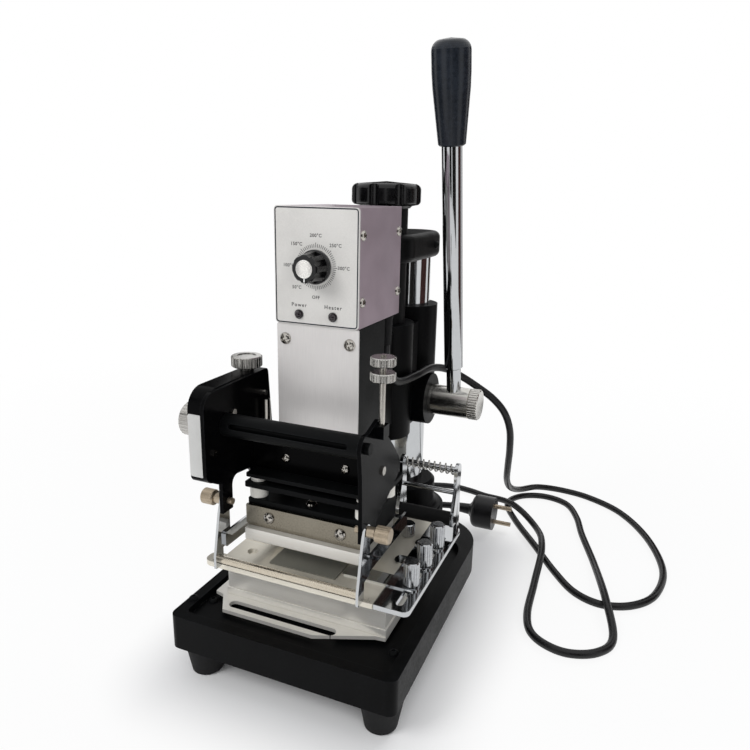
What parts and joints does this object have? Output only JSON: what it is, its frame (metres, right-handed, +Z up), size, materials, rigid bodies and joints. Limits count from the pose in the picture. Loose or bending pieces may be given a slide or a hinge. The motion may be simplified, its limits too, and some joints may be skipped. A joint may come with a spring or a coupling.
{
  "type": "hot foil stamping press",
  "caption": "Bench hot foil stamping press: a hand lever drives a heated head down a round column onto a gauged work table, with a foil spindle and a control box.",
  "frame": {"origin": "on the bench under the middle of the base casting", "axes": "+X towards the lever side, -Y towards the operator, +Z up along the column"},
  "size_m": [0.3584, 0.4768, 0.482],
  "materials": {
    "black_enamel": "semi-gloss black enamel",
    "black_anodised": "satin black finish",
    "chrome_plate": "polished chrome plate",
    "bright_steel": "turned and knurled bright steel",
    "zinc_steel": "zinc-plated screws and studs",
    "white_aluminium": "milled and clear-anodised aluminium",
    "brushed_aluminium": "brushed aluminium sheet",
    "silver_paint": "satin silver-lilac paint",
    "panel_paint": "pale grey printed panel",
    "black_rubber": "moulded black rubber",
    "pad_rubber": "dark grey press pad",
    "black_plastic": "glossy black phenolic",
    "cord_pvc": "black flexible PVC",
    "ivory_insulator": "ivory heat insulator",
    "knob_brass": "knurled brass",
    "lamp_lens": "dark red lamp lens",
    "grey_plastic": "moulded control body"
  },
  "bodies": {
    "base": {"base_casting": "black_enamel", "rubber_feet": "black_rubber", "column_socket": "black_enamel", "column": "chrome_plate", "rack": "bright_steel", "top_bracket": "black_enamel", "guide_post": "black_anodised", "base_fasteners": "black_anodised", "slotted_plate": "white_aluminium", "bed_plate": "white_aluminium", "table_block": "white_aluminium", "table_plate": "white_aluminium", "press_pad": "pad_rubber", "gauge_plate": "chrome_plate", "gauge_fingers": "chrome_plate", "roller_frame": "chrome_plate", "rod_spring": "bright_steel", "power_cord": "cord_pvc", "mains_plug": "cord_pvc"},
    "head": {"main_casting": "black_enamel", "bearing_cap": "black_enamel", "return_spring": "bright_steel", "head_housing": "black_anodised", "front_plate": "brushed_aluminium", "box_chassis": "panel_paint", "box_cover": "silver_paint", "thermostat": "grey_plastic", "pilot_lamps": "lamp_lens", "head_fasteners": "zinc_steel", "carrier_plate": "black_anodised", "insulators": "ivory_insulator", "heater_block": "black_anodised", "die_clamp": "chrome_plate", "die_plate": "white_aluminium", "foil_cross_panel": "black_enamel", "foil_side_plates": "black_enamel", "foil_drive_cover": "black_enamel", "foil_guide_bail": "chrome_plate", "foil_guide_rails": "chrome_plate", "brake_studs": "zinc_steel", "strain_relief": "black_rubber"},
    "lever": {"pinion_shaft": "bright_steel", "lever_hub": "chrome_plate", "lever_rod": "chrome_plate", "lever_grip": "black_plastic"},
    "height_knob": {"height_screw": "bright_steel", "star_knob": "black_plastic"},
    "dial": {"dial_knob": "black_plastic"},
    "spindle": {"foil_spindle": "black_anodised", "spindle_wheel": "bright_steel"},
    "tension_knob": {"tension_thumbscrew": "bright_steel"},
    "upper_nut": {"upper_brake_nut": "bright_steel"},
    "lower_nut": {"lower_brake_nut": "bright_steel"},
    "left_knob": {"left_guide_knob": "knob_brass"},
    "right_knob": {"right_guide_knob": "knob_brass"},
    "gauge_screw_1": {"gauge_thumbscrew_1": "bright_steel"},
    "gauge_screw_2": {"gauge_thumbscrew_2": "bright_steel"},
    "gauge_screw_3": {"gauge_thumbscrew_3": "bright_steel"},
    "rear_screw": {"rear_thumbscrew": "bright_steel"},
    "roller": {"rear_roller": "black_rubber"}
  },
  "joints": [
    {"name": "head_slide", "type": "slide", "parent": "base", "child": "head", "axis": [0, 0, -1], "range_m": [0, 0.01445], "stiffness_N_per_m": 1500, "springref_m": -0.06, "deforming": ["return_spring", "power_cord"]},
    {"name": "lever_pull", "type": "hinge", "parent": "head", "child": "lever", "pos_m": [0, 0.07475, 0.1835], "axis": [1, 0, 0], "range_deg": [0, 48]},
    {"name": "height_knob_turn", "type": "hinge", "parent": "base", "child": "height_knob", "pos_m": [0, 0.0435, 0.3695], "axis": [0, 0, 1], "continuous": true},
    {"name": "dial_turn", "type": "hinge", "parent": "head", "child": "dial", "pos_m": [0, -0.094, 0.3192], "axis": [0, 1, 0], "range_deg": [0, 270]},
    {"name": "spindle_turn", "type": "hinge", "parent": "head", "child": "spindle", "pos_m": [0, -0.1233, 0.2065], "axis": [1, 0, 0], "continuous": true},
    {"name": "tension_turn", "type": "hinge", "parent": "head", "child": "tension_knob", "pos_m": [-0.0645, -0.078, 0.2415], "axis": [0, 0, 1], "continuous": true},
    {"name": "upper_nut_turn", "type": "hinge", "parent": "head", "child": "upper_nut", "pos_m": [0.0605, -0.106, 0.263], "axis": [0, 0, 1], "continuous": true},
    {"name": "lower_nut_turn", "type": "hinge", "parent": "head", "child": "lower_nut", "pos_m": [0.0605, -0.106, 0.2525], "axis": [0, 0, 1], "continuous": true},
    {"name": "left_guide_knob_turn", "type": "hinge", "parent": "head", "child": "left_knob", "pos_m": [-0.065, -0.1236, 0.1465], "axis": [1, 0, 0], "continuous": true},
    {"name": "right_guide_knob_turn", "type": "hinge", "parent": "head", "child": "right_knob", "pos_m": [0.065, -0.1236, 0.1465], "axis": [1, 0, 0], "continuous": true},
    {"name": "gauge_screw_1_turn", "type": "hinge", "parent": "base", "child": "gauge_screw_1", "pos_m": [0.082, -0.0946, 0.1035], "axis": [0, 0, 1], "continuous": true},
    {"name": "gauge_screw_2_turn", "type": "hinge", "parent": "base", "child": "gauge_screw_2", "pos_m": [0.082, -0.0645, 0.1035], "axis": [0, 0, 1], "continuous": true},
    {"name": "gauge_screw_3_turn", "type": "hinge", "parent": "base", "child": "gauge_screw_3", "pos_m": [0.082, -0.0334, 0.1035], "axis": [0, 0, 1], "continuous": true},
    {"name": "rear_screw_turn", "type": "hinge", "parent": "base", "child": "rear_screw", "pos_m": [0.054, -0.025, 0.0995], "axis": [0, 0, 1], "continuous": true},
    {"name": "rear_roller_turn", "type": "hinge", "parent": "base", "child": "roller", "pos_m": [0.062, -0.008, 0.1075], "axis": [1, 0, 0], "continuous": true}
  ],
  "couplings": [
    {"joint": "lever_pull", "follows": "head_slide", "rad_per_m": 57.971}
  ]
}
